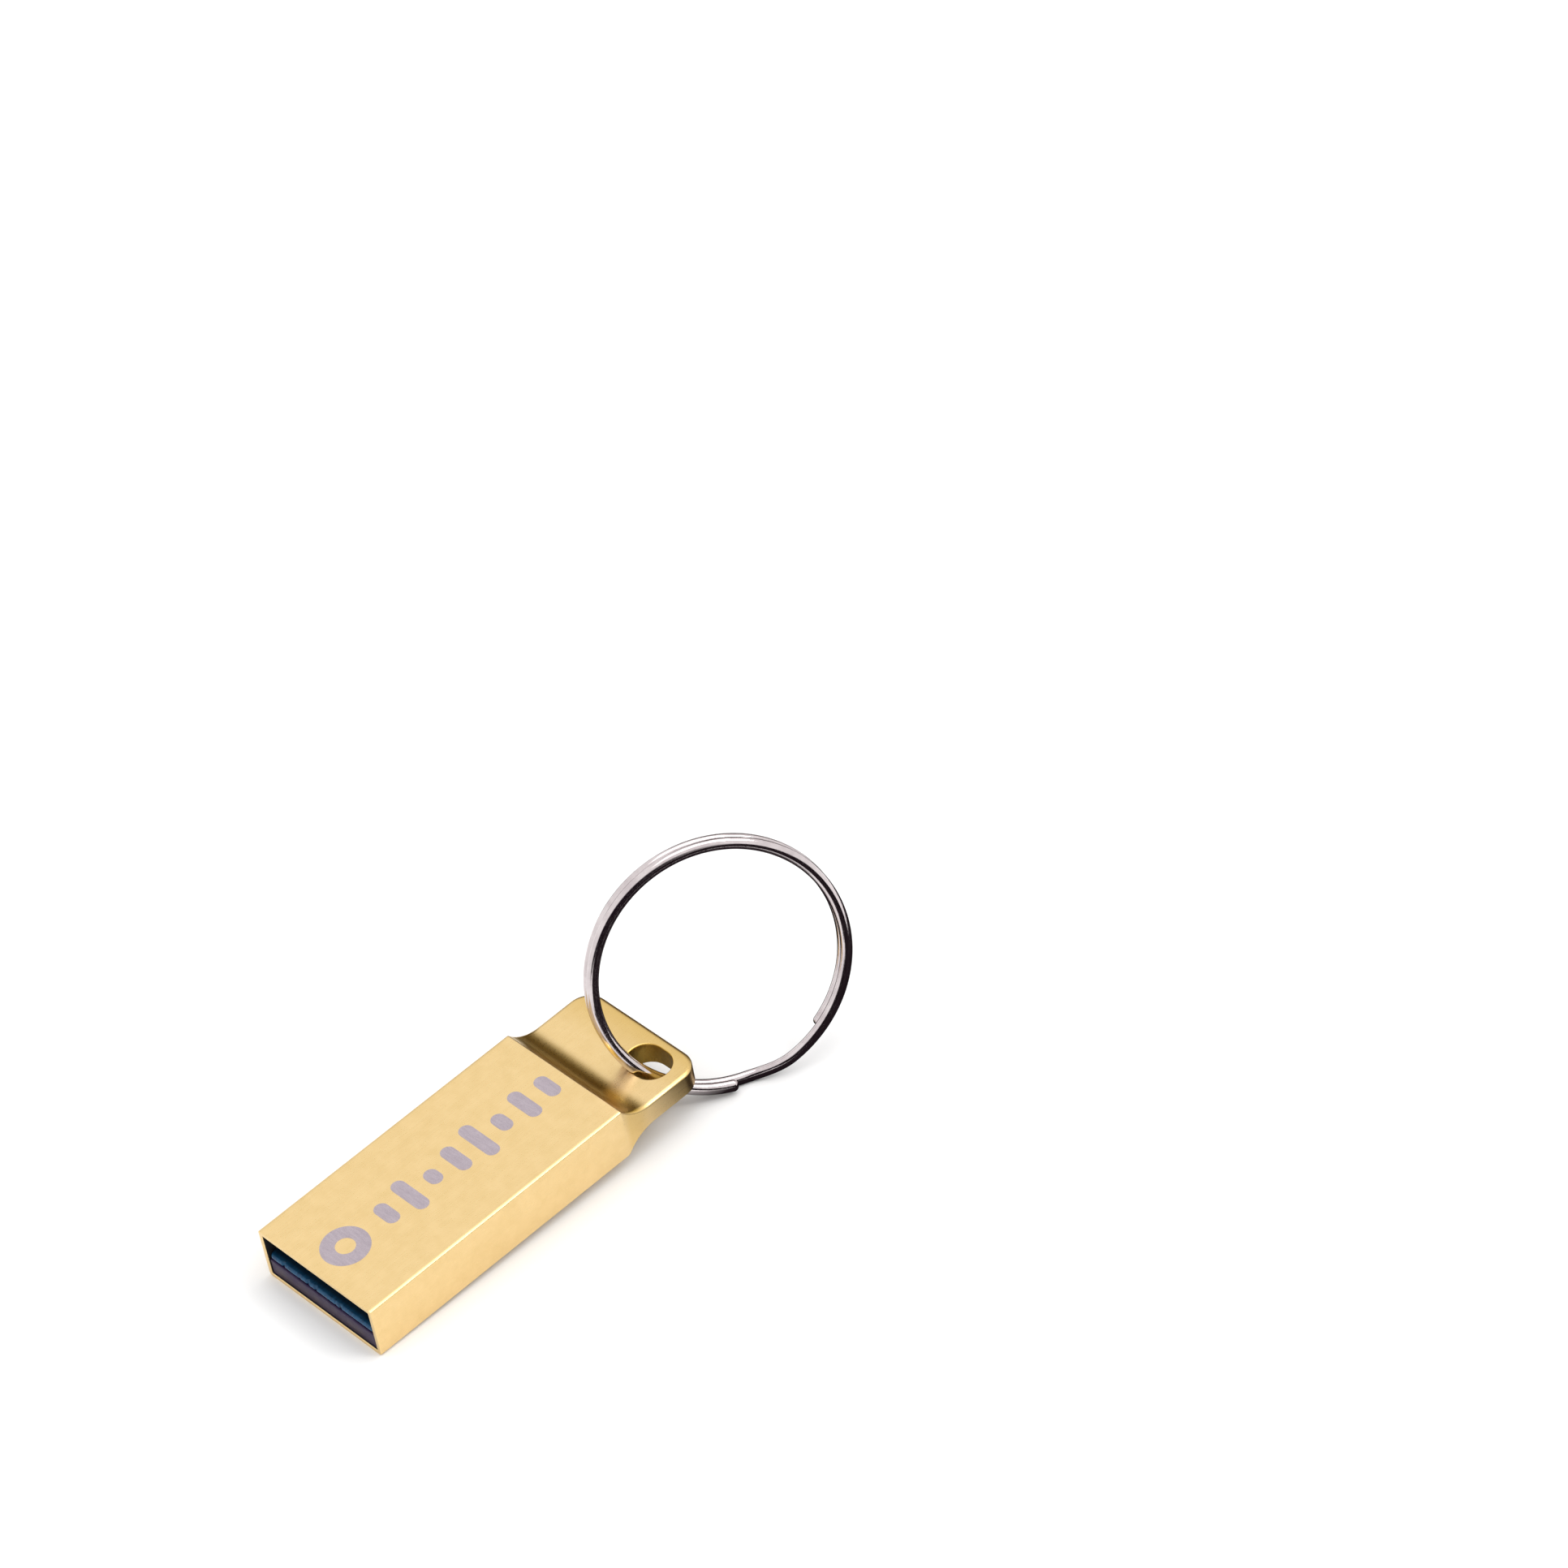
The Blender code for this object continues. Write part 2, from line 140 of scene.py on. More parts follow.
WINDOW_REAR = 11.4
WINDOW_WIDTH = 0.9
CARRIER_FRONT = 0.10
CARRIER_BOTTOM = 0.39
CARRIER_TOP = 1.86
CARRIER_NOSE = 0.10
CARRIER_END_ROUND = 0.08
CARRIER_NOSE_REAR = 1.0
CARRIER_TOP_DROP = 0.03
CARRIER_CHAMFER = 0.05
CARRIER_STEPS = 110
BRIM_DROP = 0.08
BRIM_WAVE = 0.06
BRIM_WAVE_PITCH = 1.4
BRIM_RIPPLE = 0.02
BRIM_RIPPLE_PITCH = 4.5
POCKET_MARGIN = 1.0
POCKET_FRONT = 2.0
POCKET_TOP = 1.0

# Split ring
RING_NORMAL = Vector((0.8815, -0.3570, 0.3091)).normalized()
RING_CENTRE = (3.91, 36.22, 8.13)
RING_RADIUS = 9.45
WIRE_WIDTH = 0.9
WIRE_THICKNESS = 0.67
WIRE_FULLNESS = 2.1
WIRE_POINTS = 28
LAYER_GAP = 0.06
WIRE_END_ROUND = 0.35
WIRE_TIP_SHARE = 0.35
RING_START = 127.0
RING_TURNS = 676.0
JOG_FROM = 320.0
JOG_TO = 343.0
RING_STEP = 1.5

# Etched pattern
MARK_SINK = 0.03
MARK_PROUD = 0.004
MARK_DISC_Y = 3.0
MARK_DISC_RADIUS = 1.85
MARK_DISC_HOLE = 0.75
MARK_BAR_WIDTH = 1.15
MARK_BAR_START = 6.9
MARK_BAR_PITCH = 2.2
MARK_BAR_LENGTHS = (2.3, 3.6, 1.6, 2.9, 3.9, 1.9, 3.2, 2.4)

# Studio: sides are directions in the frame; a softbox has its azimuth and elevation in degrees, then its
# distance and size in metres and its power in watts
FLOOR_REACH = 3.0
SEEN_WHITE = (0.95, 0.95, 0.95, 1.0)
DOME_BRIGHT = (1.085, 1.08, 1.075)
BACK_SIDE = (-0.59, 0.80, 0.06)
BACK_SHADE_FROM = 0.80
BACK_SHADE_TO = 0.93
BACK_SHADE = (0.045, 0.016, 0.004)
CAMERA_SIDE = (0.82, -0.56, 0.10)
CAMERA_SHADE_FROM = 0.86
CAMERA_SHADE_TO = 0.95
CAMERA_SHADE = (0.012, 0.006, 0.012)
SOFTBOXES = {
    "edge_light": ((128.0, 46.0), 0.9, 0.22, 1.1),
    "top_light": ((150.0, 76.0), 1.0, 0.8, 3.3),
}
CARD_LIFT = 0.02
FLAG_OUTLINE = (
    (6.2, 25.6), (9.0, 25.6), (12.0, 30.5), (22.0, 28.0), (45.0, 42.0),
    (45.0, 110.0), (-90.0, 110.0), (-90.0, 36.0), (-6.5, 36.0), (-6.5, 25.6),
)
FLAG_DARK = (0.008, 0.005, 0.007)
FLAG_LIGHT = (0.024, 0.016, 0.020)
FLAG_PALE = (0.90, 0.90, 0.90)
FLAG_FADE = (25.8, 32.6)
SIDE_CARD_X = (30.0, 60.0)
SIDE_CARD_Y = (-10.0, 52.0)
SIDE_CARD_TOP = 18.0
SIDE_CARD_LIFT = 0.03

# Camera, as found from the drive's own corners
CAMERA_PLACE = Vector((0.26902, -0.16486, 0.33414))
CAMERA_AZIMUTH = 53.28
CAMERA_ELEVATION = 43.58
CAMERA_ROLL = -10.77
CAMERA_LENS = 149.07
CAMERA_SENSOR = 36.0


def at(x, y, z):
    """A point from millimetres: across, back from the mouth, up from the underside."""
    return Vector((x * MM, SHELL_LOW.y + y * MM, SHELL_LOW.z + z * MM))


# ---------------------------------------------------------------- mesh helpers

def quarter_turn(steps):
    """Angles from nought to a right angle, both included."""
    return [k * pi / 2 / steps for k in range(steps + 1)]


def shade_smoothly(mesh, sharp_angle):
    """Smooth shading everywhere but at edges sharper than an angle in degrees."""
    mesh.shade_smooth()
    mesh.set_sharp_from_angle(angle=radians(sharp_angle))


def object_from(name, bm, sharp_angle=METAL_SHARP_ANGLE):
    """An object from a bmesh, faces turned outwards, shaded smooth but for its sharp edges."""
    bmesh.ops.recalc_face_normals(bm, faces=bm.faces)
    mesh = bpy.data.meshes.new(name)
    bm.to_mesh(mesh)
    bm.free()
    shade_smoothly(mesh, sharp_angle)
    obj = bpy.data.objects.new(name, mesh)
    bpy.context.scene.collection.objects.link(obj)
    return obj


def bridge(bm, low, high, material_index=0):
    """A band of faces between two equal rings of vertices."""
    count = len(low)
    for k in range(count):
        after = (k + 1) % count
        bm.faces.new((low[k], low[after], high[after], high[k])).material_index = material_index


def add_loft(bm, rings, close_start=True, close_end=True):
    """Joins equal rings of points into a tube, and returns its first and last rings of vertices."""
    rows = [[bm.verts.new(point) for point in ring] for ring in rings]
    for low, high in zip(rows, rows[1:]):
        bridge(bm, low, high)
    if close_start:
        bm.faces.new(rows[0])
    if close_end:
        bm.faces.new(rows[-1])
    return rows[0], rows[-1]


def rounded_rectangle(half_width, half_height, radius, steps):
    """Points round a rectangle with round corners, anticlockwise from its right side's top corner."""
    points = []
    for quadrant, (sx, sy) in enumerate(((1, 1), (-1, 1), (-1, -1), (1, -1))):
        for step in range(steps + 1):
            angle = quadrant * pi / 2 + step * pi / 2 / steps
            points.append((
                sx * (half_width - radius) + radius * cos(angle),
                sy * (half_height - radius) + radius * sin(angle),
            ))
    return points


def stadium(x, y, straight, radius, steps):
    """Points round two half circles that are a straight apart across the drive."""
    points = []
    for side in (1, -1):
        facing = 0.0 if side > 0 else pi
        for k in range(steps + 1):
            angle = facing + (k / steps - 0.5) * pi
            points.append((x + side * straight / 2 + radius * cos(angle), y + radius * sin(angle)))
    return points


def apply_modifiers(obj):
    """Replaces the object's mesh by what its modifiers make of it."""
    evaluated = obj.evaluated_get(bpy.context.evaluated_depsgraph_get())
    mesh = bpy.data.meshes.new_from_object(evaluated)
    obj.modifiers.clear()
    obj.data = mesh


def cut_away(obj, *cutters):
    """Takes the cutters out of the object and deletes them."""
    for cutter in cutters:
        boolean = obj.modifiers.new("cut", "BOOLEAN")
        boolean.operation = "DIFFERENCE"
        boolean.solver = "EXACT"
        boolean.object = cutter
    apply_modifiers(obj)
    for cutter in cutters:
        bpy.data.objects.remove(cutter, do_unlink=True)


def even_shading(obj, sharp_angle):
    """Shades a cut piece afresh, and keeps its flat faces flat by weighting normals with face area."""
    shade_smoothly(obj.data, sharp_angle)
    weighted = obj.modifiers.new("even_shading", "WEIGHTED_NORMAL")
    weighted.mode = "FACE_AREA"
    weighted.weight = 60
    weighted.keep_sharp = True


def soften(obj, width, segments=2):
    """Rounds the sharp edges of a piece."""
    bevel = obj.modifiers.new("soft_edges", "BEVEL")
    bevel.width = width * MM
    bevel.segments = segments
    bevel.limit_method = "ANGLE"
    bevel.angle_limit = radians(35.0)
    bevel.harden_normals = False


def block(name, x_range, y_range, z_range):
    """A plain block between three ranges, for cutting with."""
    bm = bmesh.new()
    rings = []
    for z in z_range:
        rings.append([at(x_range[0], y_range[0], z), at(x_range[1], y_range[0], z),
                      at(x_range[1], y_range[1], z), at(x_range[0], y_range[1], z)])
    add_loft(bm, rings)
    return object_from(name, bm)


def place(obj, body, slot, *nodes):
    """Attaches a piece to the body it rides on and hides the CAD nodes it stands for; the slot argument is
    not used.
    """
    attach(obj, body)
    if nodes:
        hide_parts(*nodes)


# ---------------------------------------------------------------- material helpers

def mix_colours(tree, factor, first, second):
    """A colour between two, each given as a colour or as another node's output."""
    node = tree.nodes.new("ShaderNodeMix")
    node.data_type = "RGBA"
    tree.links.new(factor, node.inputs["Factor"])
    for socket, value in zip((node.inputs[6], node.inputs[7]), (first, second)):
        if isinstance(value, tuple):
            socket.default_value = (*value, 1.0)
        else:
            tree.links.new(value, socket)
    return node.outputs[2]


class Shader:
    """A Principled material with millimetre object coordinates and a few short ways to add nodes."""

    def __init__(self, name, metallic=0.0, roughness=0.5):
        self.material = bpy.data.materials.new(name)
        self.material.use_nodes = True
        self.tree = self.material.node_tree
        self.surface = self.tree.nodes["Principled BSDF"]
        self.surface.inputs["Metallic"].default_value = metallic
        self.surface.inputs["Roughness"].default_value = roughness
        self.coordinates = self.tree.nodes.new("ShaderNodeTexCoord").outputs["Object"]

    def link(self, output, socket_name):
        self.tree.links.new(output, self.surface.inputs[socket_name])

    def noise(self, scale, detail=3.0, roughness=0.55, distortion=0.0):
        """Noise with so many features to the millimetre; scale may be one number or one for each axis."""
        stretch = (scale,) * 3 if isinstance(scale, (int, float)) else scale
        mapping = self.tree.nodes.new("ShaderNodeMapping")
        mapping.inputs["Scale"].default_value = [value / MM for value in stretch]
        self.tree.links.new(self.coordinates, mapping.inputs["Vector"])
        texture = self.tree.nodes.new("ShaderNodeTexNoise")
        texture.inputs["Scale"].default_value = 1.0
        texture.inputs["Detail"].default_value = detail
        texture.inputs["Roughness"].default_value = roughness
        texture.inputs["Distortion"].default_value = distortion
        self.tree.links.new(mapping.outputs["Vector"], texture.inputs["Vector"])
        return texture.outputs["Fac"]

    def spread(self, value, low, high, from_low=0.3, from_high=0.7):
        """Maps a noise value onto a range."""
        node = self.tree.nodes.new("ShaderNodeMapRange")
        node.inputs["From Min"].default_value = from_low
        node.inputs["From Max"].default_value = from_high
        node.inputs["To Min"].default_value = low
        node.inputs["To Max"].default_value = high
        self.tree.links.new(value, node.inputs["Value"])
        return node.outputs["Result"]

    def axis(self, letter):
        """One object coordinate, in metres."""
        node = self.tree.nodes.new("ShaderNodeSeparateXYZ")
        self.tree.links.new(self.coordinates, node.inputs["Vector"])
        return node.outputs[letter]

    def maths(self, operation, first, second=0.0):
        """One sum; each value is a number or another node's output."""
        node = self.tree.nodes.new("ShaderNodeMath")
        node.operation = operation
        for socket, value in zip(node.inputs, (first, second)):
            if isinstance(value, (int, float)):
                socket.default_value = value
            else:
                self.tree.links.new(value, socket)
        return node.outputs["Value"]

    def blend_colours(self, factor, first, second):
        return mix_colours(self.tree, factor, first, second)

    def bump(self, height, depth, strength=1.0, after=None):
        """A bump from a height value; depth is in millimetres."""
        node = self.tree.nodes.new("ShaderNodeBump")
        node.inputs["Strength"].default_value = strength
        node.inputs["Distance"].default_value = depth * MM
        self.tree.links.new(height, node.inputs["Height"])
        if after is not None:
            self.tree.links.new(after, node.inputs["Normal"])
        return node.outputs["Normal"]


def painted_shade_share(shader):
    """Share of the painted shade on the gold: full in the pinch's hollow and the eye, less on the sides and
    at the tail.
    """
    def rising(start, end):
        return shader.spread(shader.axis("Y"), 0.0, 1.0, at(0, start, 0).y, at(0, end, 0).y)

    past_start = rising(*PINCH_SHADE_START)
    before_end = shader.maths("SUBTRACT", 1.0, rising(*PINCH_SHADE_END))
    hollow = shader.maths("MULTIPLY", past_start, before_end)
    side_start, side_end = ((WIDTH / 2 - depth) * MM for depth in SIDE_SHADE_DEPTHS)
    from_middle_line = shader.maths("ABSOLUTE", shader.axis("X"))
    side = shader.spread(from_middle_line, 1.0, SIDE_SHADE_SHARE, side_start, side_end)
    tail = shader.maths("MULTIPLY", rising(*TAIL_SHADE), TAIL_SHADE_SHARE)
    eye_centre = at(EYE_X, EYE_Y, 0)
    from_middle = shader.maths("ABSOLUTE", shader.maths("SUBTRACT", shader.axis("X"), eye_centre.x))
    past_end = shader.maths("SUBTRACT", from_middle, EYE_STRAIGHT / 2 * MM)
    across = shader.maths("MAXIMUM", past_end, 0.0)
    along = shader.maths("SUBTRACT", shader.axis("Y"), eye_centre.y)
    across_squared = shader.maths("MULTIPLY", across, across)
    along_squared = shader.maths("MULTIPLY", along, along)
    distance = shader.maths("SQRT", shader.maths("ADD", across_squared, along_squared))
    eye = shader.spread(distance, 1.0, 0.0, (EYE_RADIUS + EYE_SHADE_START) * MM, (EYE_RADIUS + EYE_RIM) * MM)
    pinch = shader.maths("MULTIPLY", hollow, side)
    return shader.maths("MAXIMUM", pinch, shader.maths("MAXIMUM", tail, eye))


def satin_gold():
    """Gold-finished metal: warm mottling, a fine satin grain and faint brushing along the drive, with painted
    shade in the pinch, the eye and at the tail.
    """
    shader = Shader("satin_gold", metallic=1.0)
    patches = shader.noise(0.9, detail=5.0, roughness=0.6)
    grain = shader.noise(11.0, detail=3.0)
    brushing = shader.noise((16.0, 0.55, 16.0), detail=3.0, roughness=0.6)
    mottling = shader.maths("MULTIPLY", patches, 0.65)
    tone = shader.maths("ADD", mottling, shader.maths("MULTIPLY", brushing, 0.35))
    share = shader.spread(tone, 0.0, 1.0, 0.36, 0.64)
    colour = shader.blend_colours(share, (0.790, 0.575, 0.270), (0.850, 0.630, 0.315))
    # The base colour turns to the painted-shade gold in the pinch's hollow, the eye and at the tail
    shader.link(shader.blend_colours(painted_shade_share(shader), colour, SHADE_PAINTED_GOLD), "Base Color")
    half_grain = shader.maths("MULTIPLY", grain, 0.5)
    gloss = shader.maths("ADD", half_grain, shader.maths("MULTIPLY", brushing, 0.5))
    shader.link(shader.spread(gloss, 0.26, 0.34, 0.35, 0.65), "Roughness")
    normal = shader.bump(brushing, 0.004, 0.14)
    shader.link(shader.bump(grain, 0.004, 0.20, after=normal), "Normal")
    return shader.material


def painted_cavity_shade():
    """The shell's inside, painted near black as the shade deep in the cavity."""
    shader = Shader("painted_cavity_shade", roughness=0.6)
    marks = shader.noise((9.0, 0.8, 9.0), detail=3.0)
    shader.link(shader.blend_colours(shader.spread(marks, 0.0, 1.0), (0.004, 0.004, 0.005),
                                     (0.014, 0.013, 0.014)), "Base Color")
    shader.link(shader.bump(marks, 0.01, 0.4), "Normal")
    return shader.material


def etched_grey():
    """Laser-etched metal: mauve grey, matt and speckled."""
    shader = Shader("etched_grey", metallic=0.55)
    speckle = shader.noise(13.0, detail=3.0, roughness=0.7)
    sweep = shader.noise((1.2, 9.0, 1.0), detail=2.0)
    speckling = shader.maths("MULTIPLY", speckle, 0.7)
    tone = shader.maths("ADD", speckling, shader.maths("MULTIPLY", sweep, 0.3))
    shader.link(shader.blend_colours(shader.spread(tone, 0.0, 1.0, 0.38, 0.62), (0.335, 0.285, 0.325),
                                     (0.475, 0.415, 0.455)), "Base Color")
    shader.link(shader.spread(speckle, 0.48, 0.68), "Roughness")
    shader.link(shader.bump(speckle, 0.006, 0.5), "Normal")
    return shader.material


def polished_nickel():
    """Nickel-plated wire: bright, with fine lengthwise drawing marks and a few dull stains."""
    shader = Shader("polished_nickel", metallic=1.0)
    stains = shader.noise(0.7, detail=4.0, roughness=0.6)
    scuffs = shader.noise(7.0, detail=4.0, roughness=0.7)
    colour = shader.blend_colours(shader.spread(stains, 0.0, 1.0, 0.35, 0.65), (0.57, 0.505, 0.515),
                                  (0.69, 0.63, 0.635))
    shader.link(colour, "Base Color")
    shader.link(shader.spread(scuffs, 0.07, 0.18, 0.35, 0.7), "Roughness")
    shader.link(shader.bump(scuffs, 0.004, 0.35), "Normal")
    return shader.material


def moulded_plastic(name, dark, light, roughness, grain_scale=9.0, grain_depth=0.006):
    """Moulded plastic: two close tones, an uneven sheen and a fine surface grain."""
    shader = Shader(name)
    clouds = shader.noise(1.1, detail=4.0)
    grain = shader.noise(grain_scale, detail=3.0)
    shader.link(shader.blend_colours(shader.spread(clouds, 0.0, 1.0), dark, light), "Base Color")
    shader.link(shader.spread(grain, roughness - 0.08, roughness + 0.08), "Roughness")
    shader.link(shader.bump(grain, grain_depth, 0.5), "Normal")
    return shader.material


def violet_moulding():
    """The plug's lower moulding: smooth violet black with a few pale specks."""
    shader = Shader("violet_moulding")
    clouds = shader.noise(0.9, detail=3.0)
    specks = shader.noise(6.0, detail=2.0, roughness=0.4)
    base = shader.blend_colours(shader.spread(clouds, 0.0, 1.0), (0.012, 0.005, 0.029),
                                (0.019, 0.009, 0.043))
    shader.link(shader.blend_colours(shader.spread(specks, 0.0, 0.7, 0.70, 0.76), base, (0.10, 0.09, 0.11)),
                "Base Color")
    shader.link(shader.spread(clouds, 0.34, 0.48), "Roughness")
    shader.surface.inputs["Specular IOR Level"].default_value = 0.3
    shader.surface.inputs["Specular Tint"].default_value = (0.92, 0.72, 1.0, 1.0)
    shader.link(shader.bump(specks, 0.010, 0.4), "Normal")
    return shader.material


def blue_insulator():
    """The plug's blue plate: teal blue with streaks from moulding, darker spots of wear, and painted shade
    that darkens it from just behind its front edge.
    """
    shader = Shader("blue_insulator")
    streaks = shader.noise((7.0, 1.3, 5.0), detail=4.0, roughness=0.65)
    spots = shader.noise(4.5, detail=3.0)
    base = shader.blend_colours(shader.spread(streaks, 0.0, 1.0, 0.35, 0.65), (0.002, 0.042, 0.110),
                                (0.006, 0.085, 0.185))
    # Painted shade: the plate darkens from just behind its front edge into the mouth
    shade_start, shade_end = (at(0, PLATE_FRONT + depth, 0).y for depth in PLATE_SHADE_DEPTHS)
    deeper = shader.spread(shader.axis("Y"), 0.0, PLATE_SHADE_SHARE, shade_start, shade_end)
    wear_and_shade = shader.maths("MAXIMUM", shader.spread(spots, 0.0, 0.8, 0.60, 0.70), deeper)
    shader.link(shader.blend_colours(wear_and_shade, base, (0.002, 0.006, 0.011)), "Base Color")
    shader.link(shader.spread(streaks, 0.30, 0.50), "Roughness")
    shader.surface.inputs["Specular IOR Level"].default_value = 0.3
    shader.link(shader.bump(streaks, 0.02, 0.5), "Normal")
    return shader.material


def plated_contact():
    """Gold plating on a stamped contact, with rolling marks along it and a light wear track."""
    shader = Shader("plated_contact", metallic=1.0)
    rolling = shader.noise((22.0, 0.8, 10.0), detail=3.0)
    wear = shader.noise(1.8, detail=3.0)
    shader.link(shader.blend_colours(shader.spread(wear, 0.0, 1.0), (0.83, 0.58, 0.22), (0.93, 0.70, 0.33)),
                "Base Color")
    shader.link(shader.spread(rolling, 0.16, 0.34), "Roughness")
    shader.link(shader.bump(rolling, 0.003, 0.4), "Normal")
    return shader.material


def solder_mask():
    """Green solder mask over copper tracks, which show as paler raised lines."""
    shader = Shader("solder_mask", roughness=0.3)
    tracks = shader.noise((1.6, 5.5, 1.0), detail=1.0)
    flow = shader.noise(3.0, detail=3.0)
    base = shader.blend_colours(shader.spread(flow, 0.0, 1.0), (0.006, 0.070, 0.030), (0.010, 0.095, 0.042))
    track_share = shader.spread(tracks, 0.0, 1.0, 0.49, 0.52)
    shader.link(shader.blend_colours(track_share, base, (0.030, 0.175, 0.080)), "Base Color")
    shader.link(shader.bump(tracks, 0.02, 0.4), "Normal")
    return shader.material


def bright_can():
    """A drawn metal can with a fine directional sheen."""
    shader = Shader("bright_can", metallic=1.0)
    sheen = shader.noise((12.0, 1.0, 12.0), detail=3.0)
    shader.link(shader.blend_colours(shader.spread(sheen, 0.0, 1.0), (0.60, 0.60, 0.60), (0.74, 0.74, 0.73)),
                "Base Color")
    shader.link(shader.spread(sheen, 0.22, 0.38), "Roughness")
    return shader.material


def amber_film():
    """Thin polyimide film with a faint ripple."""
    shader = Shader("amber_film", roughness=0.25)
    ripple = shader.noise(0.8, detail=2.0)
    shader.link(shader.blend_colours(shader.spread(ripple, 0.0, 1.0), (0.42, 0.18, 0.03), (0.58, 0.28, 0.06)),
                "Base Color")
    shader.link(shader.bump(ripple, 0.03, 0.5), "Normal")
    return shader.material


def studio_floor():
    """Plain pale floor with a barely visible unevenness."""
    shader = Shader("studio_floor", roughness=0.75)
    clouds = shader.noise(0.012, detail=2.0)
    shader.link(shader.blend_colours(shader.spread(clouds, 0.0, 1.0), (0.875, 0.875, 0.875),
                                     (0.895, 0.895, 0.895)), "Base Color")
    return shader.material


# ---------------------------------------------------------------- shell

def pinch_run():
    """Length of the hollow pinch between the crease and the tab."""
    step = (HEIGHT - TAB_THICKNESS) / 2
    return sqrt(PINCH_RADIUS ** 2 - (PINCH_RADIUS - step) ** 2)


def half_height(y, blend):
    """Height of the top, or depth of the underside, from the middle plane; blend softens the crease."""
    full = HEIGHT / 2
    left = CREASE_Y + pinch_run() - y
    if left <= 0:
        return TAB_THICKNESS / 2
    if left >= PINCH_RADIUS * 0.99:
        return full
    hollow = TAB_THICKNESS / 2 + PINCH_RADIUS - sqrt(PINCH_RADIUS ** 2 - left ** 2)
    near = max(blend - abs(full - hollow), 0.0)
    return min(full, hollow) - near ** 2 / (4 * blend)


def plan_half_width(y, inset):
    """Half the width of the shell's outline, moved inwards by an inset."""
    past = y - (LENGTH - TAB_CORNER)
    if past <= 0:
        return WIDTH / 2 - inset
    return WIDTH / 2 - TAB_CORNER + sqrt(max((TAB_CORNER - inset) ** 2 - past ** 2, 0.0))


def edge_points(y, radius, spread, level):
    """Points round one long edge at a station, from the side up to the flat face, as (x, height).

    The rounding is radius high and spread times as wide.
    """
    across = radius * spread
    reach = min(max(LENGTH - y, 0.0), across)
    last = acos(1 - reach / across)
    mouth = max(MOUTH_EDGE - y, 0.0)
    mouth_inset = MOUTH_EDGE - sqrt(MOUTH_EDGE ** 2 - mouth ** 2)
    points = []
    for step in range(EDGE_STEPS + 1):
        angle = last * step / EDGE_STEPS
        inset = across * (1 - cos(angle))
        height = level - radius + radius * sin(angle) - mouth_inset
        points.append((plan_half_width(y, inset) - mouth_inset, height))
    return points


def shell_section(y):
    """One outer section of the shell, anticlockwise from its right side's top edge."""
    top = half_height(y, TOP_CREASE_BLEND)
    bottom = half_height(y, BOTTOM_CREASE_BLEND)
    step = (HEIGHT - TAB_THICKNESS) / 2
    pinched_top = (HEIGHT / 2 - top) / step
    pinched_bottom = (HEIGHT / 2 - bottom) / step
    upper = edge_points(y, TOP_EDGE + (TAB_EDGE - TOP_EDGE) * pinched_top,
                        TOP_EDGE_SPREAD + (TAB_EDGE_SPREAD - TOP_EDGE_SPREAD) * pinched_top, top)
    lower = edge_points(y, BOTTOM_EDGE + (TAB_EDGE - BOTTOM_EDGE) * pinched_bottom,
                        1.0 + (TAB_EDGE_SPREAD - 1.0) * pinched_bottom, bottom)
    outline = upper + [(-x, z) for x, z in reversed(upper)]
    outline += [(-x, -z) for x, z in lower] + [(x, -z) for x, z in reversed(lower)]
    return [at(x, y, HEIGHT / 2 + z) for x, z in outline]


def shell_stations():
    """Distances from the mouth of the outer sections, close together wherever the shell bends."""
    stations = [MOUTH_EDGE * (1 - cos(angle)) for angle in quarter_turn(4)]
    stations += [CREASE_Y - before for before in CREASE_APPROACH]
    stations += [CREASE_Y - CREASE_RUN_IN + CREASE_STEP * k for k in range(20)]
    start = stations[-1]
    end = CREASE_Y + pinch_run()
    stations += [start + (end - start) * k / 20 for k in range(1, 21)]
    corner = LENGTH - TAB_CORNER
    rounding = TAB_EDGE * TAB_EDGE_SPREAD
    stations += [corner]
    stations += [corner + (TAB_CORNER - rounding) * sin(angle) for angle in quarter_turn(12)[1:]]
    stations += [LENGTH - rounding * (1 - sin(angle)) for angle in quarter_turn(8)[1:]]
    return stations


def eye_cutter():
    """A spool through the tab that leaves the eye's rims round on both faces."""
    half = TAB_THICKNESS / 2
    levels = [(-half - EYE_CUTTER_REACH, EYE_RIM)]
    for turned in quarter_turn(8):
        levels.append((-half + EYE_RIM * (1 - cos(turned)), EYE_RIM * (1 - sin(turned))))
    levels += [(-z, grow) for z, grow in reversed(levels)]
    rings = []
    for z, grow in levels:
        outline = stadium(EYE_X, EYE_Y, EYE_STRAIGHT, EYE_RADIUS + grow, 24)
        rings.append([at(x, y, HEIGHT / 2 + z) for x, y in outline])
    bm = bmesh.new()
    add_loft(bm, rings)
    return object_from("eye_cutter", bm)


def cavity_section(y, inset):
    """One section of the shell's inside, moved inwards by an inset."""
    half_width = WIDTH / 2 - WALL - inset
    outline = rounded_rectangle(half_width, HEIGHT / 2 - WALL - inset, CAVITY_CORNER, EDGE_STEPS)
    return [at(x, y, HEIGHT / 2 + z) for x, z in outline]


